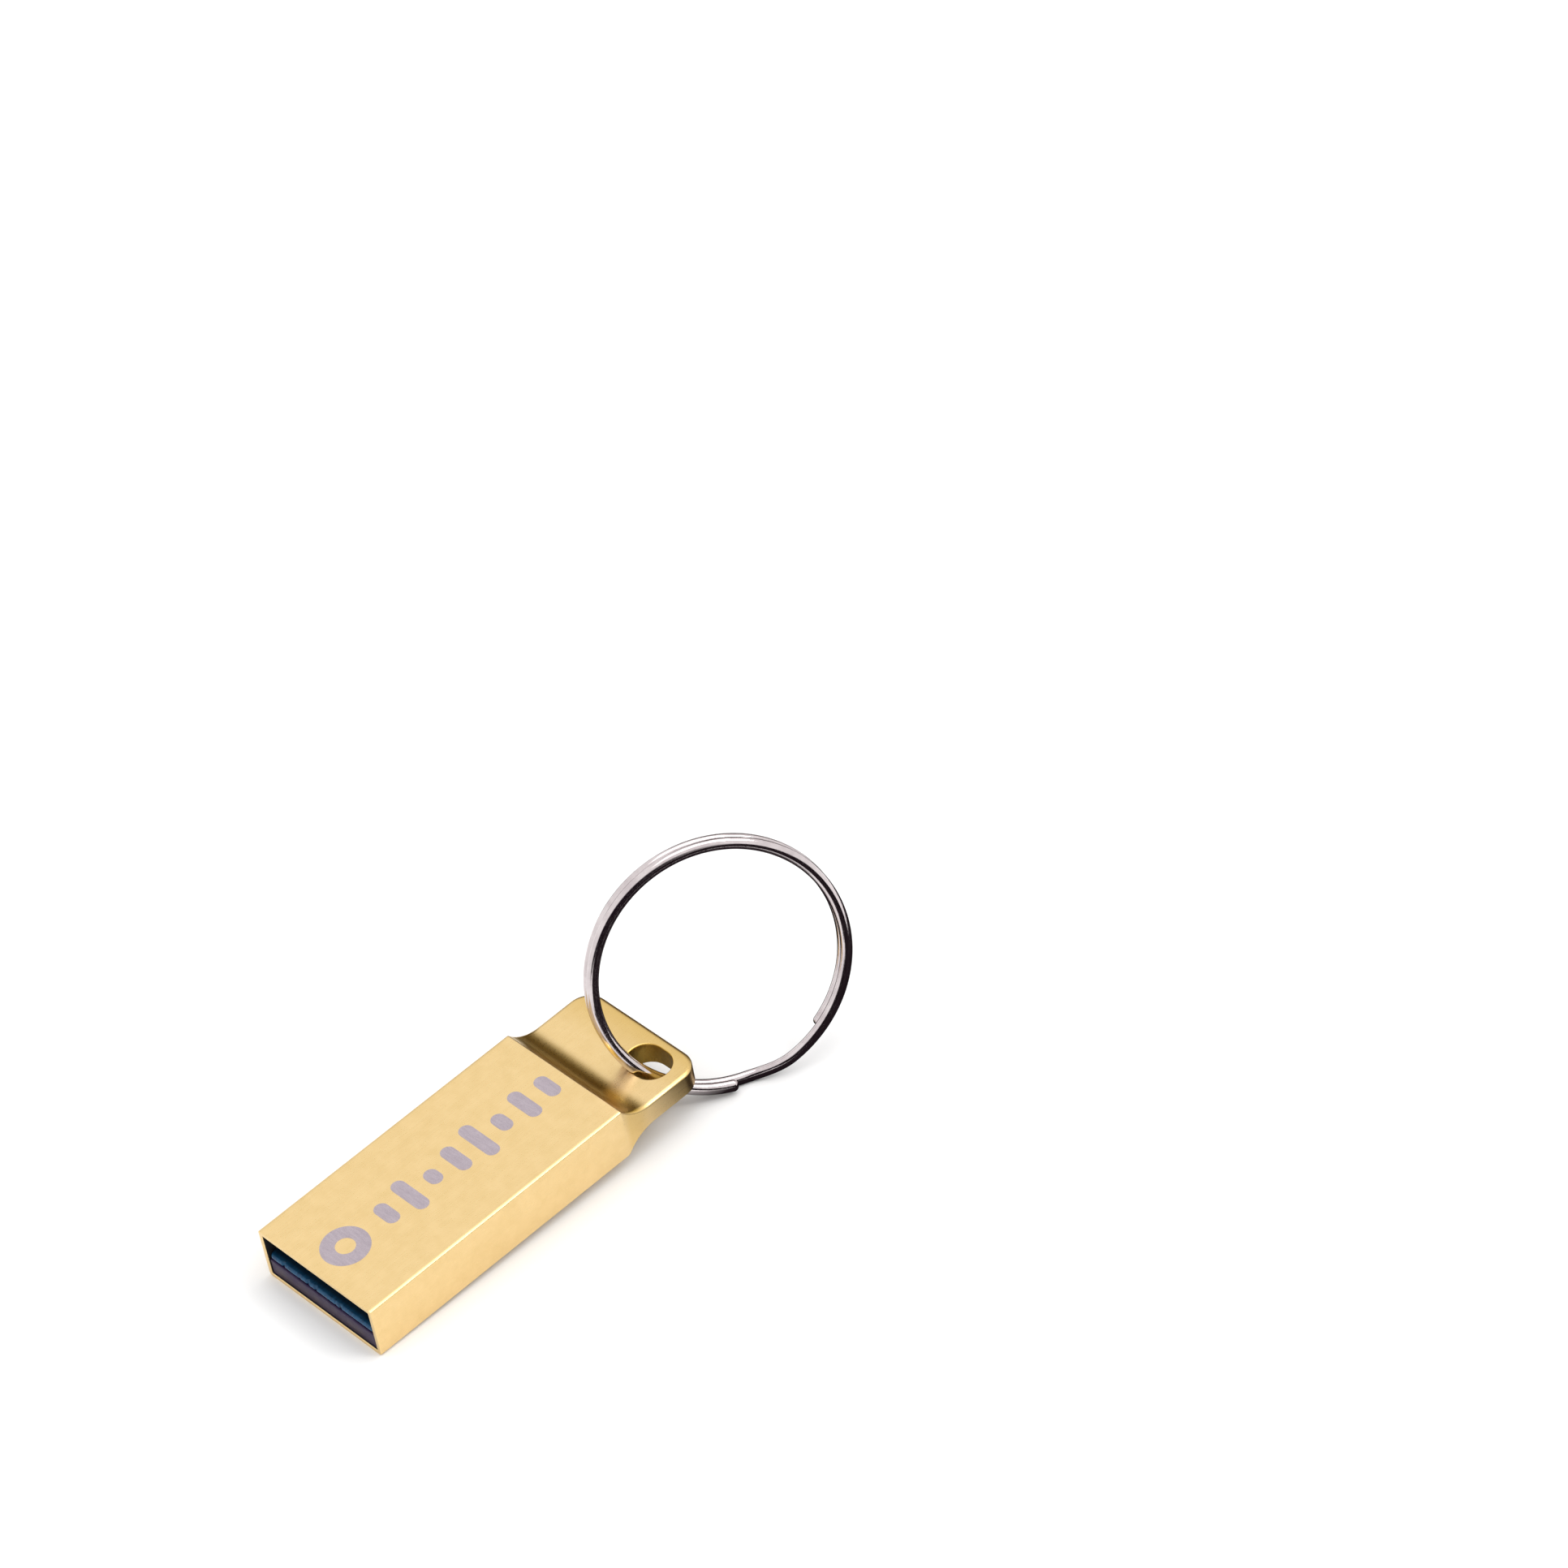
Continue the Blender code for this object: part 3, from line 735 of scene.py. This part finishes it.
def build_shell():
    """The whole metal shell: outside, mouth, an inside painted near black as shade, and eye."""
    bm = bmesh.new()
    outer, _ = add_loft(bm, [shell_section(y) for y in shell_stations()], close_start=False)
    depths = ((0.0, -MOUTH_LIP), (MOUTH_LIP, 0.0), (CAVITY_SHADE_START, 0.0), (CAVITY_LENGTH, 0.0))
    cavity = [cavity_section(y, inset) for y, inset in depths]
    inner, lip_ring = add_loft(bm, cavity[:2], close_start=False, close_end=False)
    deeper = [lip_ring]
    for ring in cavity[2:]:
        deeper.append([bm.verts.new(point) for point in ring])
    # From a little way behind the mouth, the inside takes the near-black painted shade
    for low, high in zip(deeper, deeper[1:]):
        bridge(bm, low, high, material_index=1)
    bm.faces.new(deeper[-1]).material_index = 1
    bridge(bm, outer, inner)
    shell = object_from("shell", bm)
    shell.data.materials.append(satin_gold())
    shell.data.materials.append(painted_cavity_shade())
    cut_away(shell, eye_cutter())
    even_shading(shell, METAL_SHARP_ANGLE)
    place(shell, "drive", "gold_metal", "metal_housing")


# ---------------------------------------------------------------- mark

def add_plate(bm, outline, hole=None):
    """A thin plate let into the top face, from an outline of (x, y) points, with a hole if one is given."""
    low = HEIGHT - MARK_SINK
    high = HEIGHT + MARK_PROUD
    if hole is None:
        add_loft(bm, [[at(x, y, z) for x, y in outline] for z in (low, high)])
        return
    loops = [[bm.verts.new(at(x, y, z)) for x, y in points]
             for points, z in ((outline, low), (outline, high), (hole, high), (hole, low))]
    for low_loop, high_loop in zip(loops, loops[1:] + loops[:1]):
        bridge(bm, low_loop, high_loop)


def circle(y, radius, steps=64):
    """Points round a circle on the middle line."""
    angles = [2 * pi * k / steps for k in range(steps)]
    return [(radius * cos(angle), y + radius * sin(angle)) for angle in angles]


def build_mark():
    """A plain etched pattern, a ring and a row of bars, with no meaning and no lettering."""
    bm = bmesh.new()
    add_plate(bm, circle(MARK_DISC_Y, MARK_DISC_RADIUS), circle(MARK_DISC_Y, MARK_DISC_HOLE))
    radius = MARK_BAR_WIDTH / 2
    for number, length in enumerate(MARK_BAR_LENGTHS):
        middle_y = MARK_BAR_START + number * MARK_BAR_PITCH
        add_plate(bm, stadium(0.0, middle_y, 2 * (length / 2 - radius), radius, 10))
    mark = object_from("etched_pattern", bm)
    mark.data.materials.append(etched_grey())
    place(mark, "drive", "gold_metal")


# ---------------------------------------------------------------- split ring

def ring_layer(turned):
    """Height of the wire's middle in the coil: one layer, a short jog, then the other layer."""
    layer = (WIRE_THICKNESS + LAYER_GAP) / 2
    share = min(max((turned - JOG_FROM) / (JOG_TO - JOG_FROM), 0.0), 1.0)
    return -layer * cos(share * pi)


def wire_scale(turned):
    """How far the wire's section has grown to its full size near an end."""
    run = radians(min(turned, RING_TURNS - turned)) * RING_RADIUS
    short = 1.0 - min(run / WIRE_END_ROUND, 1.0)
    return WIRE_TIP_SHARE + (1.0 - WIRE_TIP_SHARE) * sqrt(1.0 - short ** 2)


def wire_outline():
    """The wire's section: between an ellipse and a rectangle, so that every side is crowned."""
    points = []
    for k in range(WIRE_POINTS):
        angle = 2 * pi * k / WIRE_POINTS
        u, v = cos(angle), sin(angle)
        reach = (abs(u) ** WIRE_FULLNESS + abs(v) ** WIRE_FULLNESS) ** (-1 / WIRE_FULLNESS)
        points.append((WIRE_WIDTH / 2 * u * reach, WIRE_THICKNESS / 2 * v * reach))
    return points


def build_ring():
    """Flat polished wire in two layers, swept round the ring's centre, with rounded-off ends."""
    level = RING_NORMAL.cross(Vector((0.0, 0.0, 1.0))).normalized()
    downhill = RING_NORMAL.cross(level)
    centre = at(*RING_CENTRE)
    end = degrees(WIRE_END_ROUND / RING_RADIUS)
    count = round((RING_TURNS - 2 * end) / RING_STEP)
    tip = [end * (1 - cos(angle)) for angle in quarter_turn(6)[:-1]]
    angles = tip + [end + (RING_TURNS - 2 * end) * k / count for k in range(count + 1)]
    angles += [RING_TURNS - turned for turned in reversed(tip)]
    outline = wire_outline()
    rings = []
    for turned in angles:
        angle = radians(RING_START + turned)
        outwards = level * cos(angle) + downhill * sin(angle)
        middle = centre + (outwards * RING_RADIUS + RING_NORMAL * ring_layer(turned)) * MM
        scale = wire_scale(turned) * MM
        rings.append([middle + (outwards * u + RING_NORMAL * v) * scale for u, v in outline])
    bm = bmesh.new()
    add_loft(bm, rings)
    ring = object_from("ring_wire", bm, ROUNDED_SHARP_ANGLE)
    ring.data.materials.append(polished_nickel())
    place(ring, "ring", "ring_wire", "split_ring")


# ---------------------------------------------------------------- plug inside

def wander(x, pitch, seed):
    """A smooth wander between -1 and 1 along the mouth, the same at every run."""
    return noise.noise(Vector((x * pitch, seed, 0.0)))


def front_of(x, half, front, end_round):
    """Distance of a moulding's front from the mouth at a place across it, with round corners at its ends."""
    corner = max(end_round - (half - abs(x)), 0.0)
    return front + end_round - sqrt(max(end_round ** 2 - corner ** 2, 0.0))


def plate_section(x, half):
    """The blue plate's side view at a place across it: a round nose, chipped in places, and a flat rear."""
    nose = front_of(x, half, PLATE_FRONT, PLATE_END_ROUND)
    chip = PLATE_CHIP * max(wander(x, PLATE_CHIP_PITCH, seed=3.0) - PLATE_CHIP_FROM, 0.0)
    nose += chip + PLATE_RIPPLE * wander(x, PLATE_RIPPLE_PITCH, seed=8.0)
    points = [(PLUG_PARTS_REAR, PLATE_TOP), (PLATE_NOSE_REAR, PLATE_TOP)]
    for angle in quarter_turn(6):
        points.append((nose + PLATE_NOSE * (1 - sin(angle)), PLATE_TOP - PLATE_NOSE * (1 - cos(angle))))
    for angle in quarter_turn(4):
        points.append((nose + PLATE_LIP * (1 - cos(angle)), PLATE_BOTTOM + PLATE_LIP * (1 - sin(angle))))
    return points + [(PLATE_NOSE_REAR, PLATE_BOTTOM), (PLUG_PARTS_REAR, PLATE_BOTTOM)]


def carrier_section(x, half):
    """The lower moulding's side view at a place across it, with a round, slightly wavy upper front edge."""
    nose = front_of(x, half, CARRIER_FRONT, CARRIER_END_ROUND)
    wave = BRIM_WAVE * wander(x, BRIM_WAVE_PITCH, seed=5.0)
    brim = CARRIER_TOP - BRIM_DROP + wave + BRIM_RIPPLE * wander(x, BRIM_RIPPLE_PITCH, seed=1.0)
    top = CARRIER_TOP - CARRIER_TOP_DROP
    points = [(PLUG_PARTS_REAR, top), (CARRIER_NOSE_REAR, top)]
    for angle in quarter_turn(5):
        points.append((nose + CARRIER_NOSE * (1 - sin(angle)), brim - CARRIER_NOSE * (1 - cos(angle))))
    points += [(nose, CARRIER_BOTTOM + CARRIER_CHAMFER), (nose + CARRIER_CHAMFER, CARRIER_BOTTOM)]
    return points + [(CARRIER_NOSE_REAR, CARRIER_BOTTOM), (PLUG_PARTS_REAR, CARRIER_BOTTOM)]


def add_moulding(name, section, half, steps):
    """A moulding swept across the drive from its side views, which stand closer together at its ends."""
    bm = bmesh.new()
    crowded = [half * sin((k / steps - 0.5) * pi) for k in range(steps + 1)]
    even = [-half + 2 * half * k / steps for k in range(steps + 1)]
    stations = sorted(set(round(x, 4) for x in crowded[:6] + crowded[-6:] + even))
    add_loft(bm, [[at(x, y, z) for y, z in section(x, half)] for x in stations])
    return object_from(name, bm, ROUNDED_SHARP_ANGLE)


def slot_cutter(stations, low, high):
    """A cutter for a groove seen from above, from (y, middle x, width) stations."""
    bm = bmesh.new()
    rings = []
    for y, x, width in stations:
        left, right = x - width / 2, x + width / 2
        rings.append([at(left, y, low), at(right, y, low), at(right, y, high), at(left, y, high)])
    add_loft(bm, rings)
    return object_from("slot_cutter", bm)


def build_plate():
    """The blue plate with its chipped round nose, contact grooves and windows."""
    plate = add_moulding("blue_plate", plate_section, WIDTH / 2 - WALL - PLATE_SIDE_GAP, PLATE_STEPS)
    cutters = []
    for node, tail_x in FLAT_CONTACT_TAILS.items():
        low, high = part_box(node)
        front = (low.y - SHELL_LOW.y) / MM
        wide = FLAT_WIDTH + 2 * SEAT_GAP
        head_x = (high.x + low.x) / 2 / MM if tail_x is None else tail_x[0]
        end_x = head_x if tail_x is None else tail_x[1]
        cutters.append(slot_cutter((
            (front - SEAT_GAP, head_x, wide), (FLAT_REAR + SEAT_GAP, head_x, wide),
            (NECK_REAR + SEAT_GAP, end_x, TAIL_WIDTH + 2 * SEAT_GAP),
            (PLUG_PARTS_REAR + CUTTER_MARGIN, end_x, TAIL_WIDTH + 2 * SEAT_GAP),
        ), PLATE_TOP - GROOVE_DEPTH, PLATE_TOP + CUTTER_MARGIN))
    for x in SPRING_PLACES:
        cutters.append(slot_cutter(((WINDOW_FRONT, x, WINDOW_WIDTH), (WINDOW_REAR, x, WINDOW_WIDTH)),
                                   PLATE_BOTTOM - CUTTER_MARGIN, PLATE_TOP + CUTTER_MARGIN))
    plate.data.materials.append(blue_insulator())
    cut_away(plate, *cutters)
    even_shading(plate, ROUNDED_SHARP_ANGLE)
    place(plate, "drive", "blue_plastic", "plug_insulator")


def build_carrier():
    """The violet black moulding under the plate, hollow below like its CAD solid."""
    half = WIDTH / 2 - WALL - SEAT_GAP
    carrier = add_moulding("plug_moulding", carrier_section, half, CARRIER_STEPS)
    carrier.data.materials.append(violet_moulding())
    inner = half - POCKET_MARGIN
    pocket_length = (POCKET_FRONT, PLUG_PARTS_REAR + CUTTER_MARGIN)
    cut_away(carrier, block("pocket", (-inner, inner), pocket_length, (-CUTTER_MARGIN, POCKET_TOP)))
    even_shading(carrier, ROUNDED_SHARP_ANGLE)
    place(carrier, "drive", "dark_plastic", "plug_carrier")


def dress(node, material, edge=0.0):
    """Gives a CAD node its material, and softens its edges where asked."""
    obj = frame["nodes"][node]
    obj.data.materials.clear()
    obj.data.materials.append(material)
    if edge:
        soften(obj, edge)


def dress_inside():
    """Materials for every CAD node that stays, and soft edges for all but the thin film."""
    contact = plated_contact()
    chip = moulded_plastic("chip_black", (0.012, 0.012, 0.013), (0.026, 0.026, 0.027), 0.55)
    can = bright_can()
    ceramic = moulded_plastic("fired_ceramic", (0.30, 0.20, 0.12), (0.42, 0.30, 0.19), 0.45)
    dark = violet_moulding()
    black = moulded_plastic("black_moulding", (0.010, 0.010, 0.011), (0.020, 0.020, 0.022), 0.5)
    board = solder_mask()
    film = amber_film()
    looks = {
        "contact_gold": (contact, 0.03),
        "chip": (chip, 0.04),
        "can": (can, 0.08),
        "ceramic": (ceramic, 0.04),
        "dark_plastic": (dark, 0.05),
        "black_plastic": (black, 0.05),
        "board": (board, 0.02),
        "film": (film, 0.0),
    }
    for entry in frame["record"]["subparts"]:
        if entry["material_slot"] in looks and entry["node"] != "plug_carrier":
            material, edge = looks[entry["material_slot"]]
            dress(entry["node"], material, edge)


# ---------------------------------------------------------------- stage

def floor_fall():
    """Fall of the floor for each metre back from the mouth, so that it just touches the ring."""
    ring = frame["nodes"]["split_ring"].data.vertices
    return max((SHELL_LOW.z - v.co.z) / (v.co.y - SHELL_LOW.y) for v in ring)


def build_floor():
    """A plain floor that the drive rests on with its mouth's lower edge and the ring's lowest point."""
    slope = floor_fall()
    bm = bmesh.new()
    corners = []
    for x_side, y_side in ((-1, -1), (1, -1), (1, 1), (-1, 1)):
        x, y = x_side * FLOOR_REACH, y_side * FLOOR_REACH
        corners.append(bm.verts.new((x, SHELL_LOW.y + y, SHELL_LOW.z - slope * y)))
    bm.faces.new(corners)
    floor = object_from("floor", bm)
    floor.data.materials.append(studio_floor())


def build_flag():
    """A dark card lying behind the drive, which only reflections see."""
    slope = floor_fall()
    bm = bmesh.new()
    bm.faces.new([bm.verts.new(at(x, y, CARD_LIFT - slope * y)) for x, y in FLAG_OUTLINE])
    show_only_in_reflections(object_from("dark_card", bm), FLAG_FADE)


def build_side_card():
    """A dark card bent like an L to the right of the drive, which only reflections see."""
    slope = floor_fall()
    near, far = SIDE_CARD_X
    bm = bmesh.new()
    rows = []
    for x, z in ((near, SIDE_CARD_LIFT), (far, SIDE_CARD_LIFT), (far, SIDE_CARD_TOP)):
        rows.append([bm.verts.new(at(x, y, z - slope * y)) for y in SIDE_CARD_Y])
    for low, high in zip(rows, rows[1:]):
        bm.faces.new((low[0], low[1], high[1], high[0]))
    show_only_in_reflections(object_from("side_card", bm))


def show_only_in_reflections(card, fade=None):
    """Gives a card its dark cloth and hides it from all but reflections.

    With a fade, the cloth is pale up to the first distance from the mouth and dark from the second.
    """
    shader = Shader(card.name, roughness=0.9)
    cloth = shader.blend_colours(shader.noise(0.05, detail=2.0), FLAG_DARK, FLAG_LIGHT)
    if fade is not None:
        start, end = fade
        share = shader.spread(shader.axis("Y"), 0.0, 1.0, at(0, start, 0).y, at(0, end, 0).y)
        cloth = shader.blend_colours(share, FLAG_PALE, cloth)
    shader.link(cloth, "Base Color")
    shader.surface.inputs["Specular IOR Level"].default_value = 0.0
    card.data.materials.append(shader.material)
    card.visible_camera = False
    card.visible_diffuse = False
    card.visible_shadow = False
    card.visible_transmission = False


def build_world():
    """White studio surroundings with two dark places low down, one behind the drive and one before it."""
    world = bpy.data.worlds.new("studio")
    bpy.context.scene.world = world
    world.use_nodes = True
    tree = world.node_tree
    tree.nodes.clear()
    direction = tree.nodes.new("ShaderNodeTexCoord").outputs["Generated"]

    def towards(axis, low, high):
        """A share that rises smoothly from 0 to 1 as a direction turns towards an axis."""
        dot = tree.nodes.new("ShaderNodeVectorMath")
        dot.operation = "DOT_PRODUCT"
        dot.inputs[1].default_value = axis
        tree.links.new(direction, dot.inputs[0])
        ramp = tree.nodes.new("ShaderNodeMapRange")
        ramp.interpolation_type = "SMOOTHSTEP"
        ramp.inputs["From Min"].default_value = low
        ramp.inputs["From Max"].default_value = high
        tree.links.new(dot.outputs["Value"], ramp.inputs["Value"])
        return ramp.outputs["Result"]

    towards_back = towards(BACK_SIDE, BACK_SHADE_FROM, BACK_SHADE_TO)
    dome = mix_colours(tree, towards_back, DOME_BRIGHT, BACK_SHADE)
    towards_camera = towards(CAMERA_SIDE, CAMERA_SHADE_FROM, CAMERA_SHADE_TO)
    shaded = mix_colours(tree, towards_camera, dome, CAMERA_SHADE)
    lit = tree.nodes.new("ShaderNodeBackground")
    tree.links.new(shaded, lit.inputs["Color"])
    seen = tree.nodes.new("ShaderNodeBackground")
    seen.inputs["Color"].default_value = SEEN_WHITE
    mix = tree.nodes.new("ShaderNodeMixShader")
    path = tree.nodes.new("ShaderNodeLightPath")
    output = tree.nodes.new("ShaderNodeOutputWorld")
    tree.links.new(path.outputs["Is Camera Ray"], mix.inputs["Fac"])
    tree.links.new(lit.outputs["Background"], mix.inputs[1])
    tree.links.new(seen.outputs["Background"], mix.inputs[2])
    tree.links.new(mix.outputs["Shader"], output.inputs["Surface"])


def direction_to(azimuth, elevation):
    """The direction from the drive to a place in the studio, from its azimuth and elevation in degrees."""
    turn, tilt = radians(azimuth), radians(elevation)
    return Vector((sin(turn) * cos(tilt), -cos(turn) * cos(tilt), sin(tilt)))


def add_softbox(name, direction, distance, size, power):
    """A square soft light that faces the drive from a direction."""
    back = direction_to(*direction)
    light = bpy.data.lights.new(name, "AREA")
    light.shape = "SQUARE"
    light.size = size
    light.energy = power
    obj = bpy.data.objects.new(name, light)
    obj.location = at(0.0, LENGTH / 2, HEIGHT / 2) + back * distance
    obj.rotation_mode = "QUATERNION"
    obj.rotation_quaternion = back.to_track_quat("Z", "Y")
    bpy.context.scene.collection.objects.link(obj)


def build_camera():
    """The camera at the found place; its roll turns it about its own line of sight."""
    back = direction_to(CAMERA_AZIMUTH, CAMERA_ELEVATION)
    right = Vector((0.0, 0.0, 1.0)).cross(back).normalized()
    up = back.cross(right)
    roll = radians(CAMERA_ROLL)
    rolled_right = right * cos(roll) + up * sin(roll)
    rolled_up = back.cross(rolled_right)
    data = bpy.data.cameras.new("camera")
    data.lens = CAMERA_LENS
    data.sensor_width = CAMERA_SENSOR
    data.clip_start = 0.01
    data.clip_end = 20.0
    camera = bpy.data.objects.new("camera", data)
    rotation = Matrix((rolled_right, rolled_up, back)).transposed().to_4x4()
    camera.matrix_world = Matrix.Translation(CAMERA_PLACE) @ rotation
    bpy.context.scene.collection.objects.link(camera)
    bpy.context.scene.camera = camera


def build_stage():
    build_floor()
    build_flag()
    build_side_card()
    build_world()
    for name, (direction, distance, size, power) in SOFTBOXES.items():
        add_softbox(name, direction, distance, size, power)
    bpy.context.scene.view_settings.view_transform = "Standard"


build_camera()
build_shell()
build_mark()
build_ring()
build_plate()
build_carrier()
dress_inside()
build_stage()
